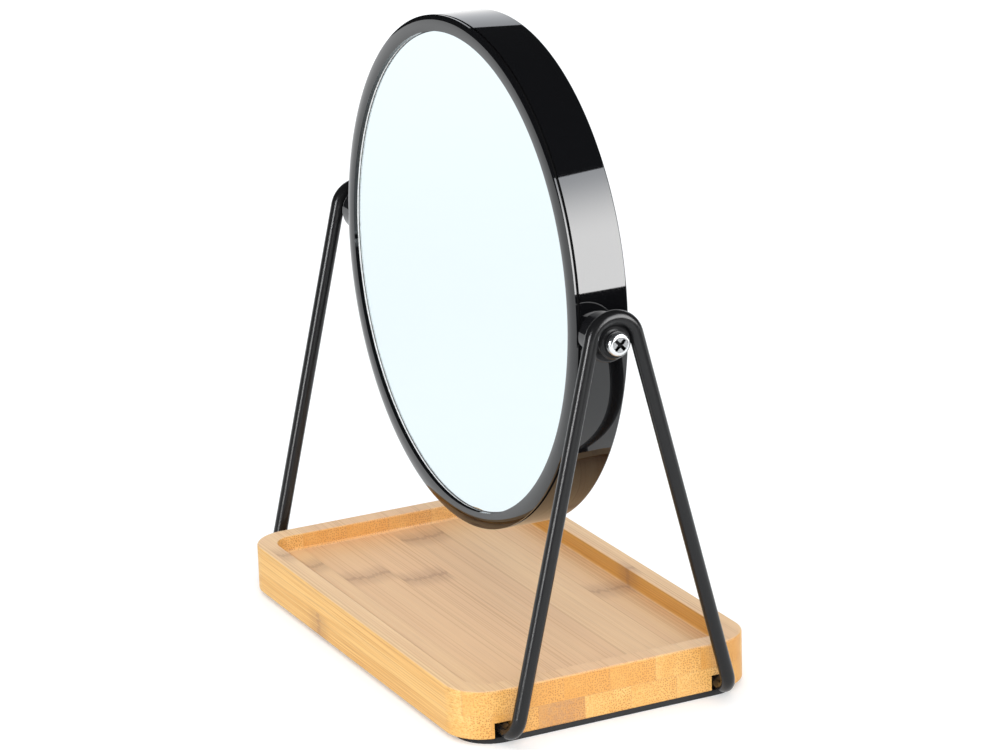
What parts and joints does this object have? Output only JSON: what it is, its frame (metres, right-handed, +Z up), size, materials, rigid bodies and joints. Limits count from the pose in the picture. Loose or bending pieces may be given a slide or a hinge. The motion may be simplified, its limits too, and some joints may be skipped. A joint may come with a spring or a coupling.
{
  "type": "tabletop vanity mirror",
  "caption": "Round tilting vanity mirror, flat on one face and magnifying on the other, hung between bent wire frames on a shallow bamboo tray.",
  "frame": {"origin": "middle of the base pad's underside, on the surface the mirror stands on", "axes": "+Z up, +X along the two pivots to the right-hand wire frame, -Y is where the flat mirror face looks, leaning back slightly"},
  "size_m": [0.209, 0.1124, 0.2262],
  "materials": {
    "bamboo": "clear satin lacquer over laminated bamboo",
    "pad": "matte closed-cell foam",
    "wire_black": "satin black powder coat on steel wire",
    "head_black": "high-gloss black",
    "boss_black": "gloss black",
    "flat_mirror": "silvered float glass",
    "magnifying_mirror": "silvered bent glass",
    "foam": "adhesive foam",
    "core_plastic": "moulded, as moulded",
    "nylon": "nylon",
    "chrome_screw": "bright nickel plated",
    "screw_steel": "zinc plated",
    "insert_brass": "turned"
  },
  "bodies": {
    "stand": {"tray": "bamboo", "base_pad": "pad", "foot_screws": "screw_steel", "left_wire_frame": "wire_black", "left_pivot_eye": "wire_black", "right_wire_frame": "wire_black", "right_pivot_eye": "wire_black"},
    "mirror_head": {"front_ring": "head_black", "head_shell": "head_black", "flat_glass": "flat_mirror", "magnifying_glass": "magnifying_mirror", "front_foam": "foam", "rear_foam": "foam", "core_frame": "core_plastic", "left_boss": "boss_black", "left_friction_washer": "nylon", "left_spring_washer": "screw_steel", "left_pivot_screw": "chrome_screw", "left_insert": "insert_brass", "right_boss": "boss_black", "right_friction_washer": "nylon", "right_spring_washer": "screw_steel", "right_pivot_screw": "chrome_screw", "right_insert": "insert_brass"}
  },
  "joints": [
    {"name": "head_tilt", "type": "hinge", "parent": "stand", "child": "mirror_head", "pos_m": [0, -0.0009, 0.136], "axis": [1, 0, 0], "continuous": true}
  ]
}
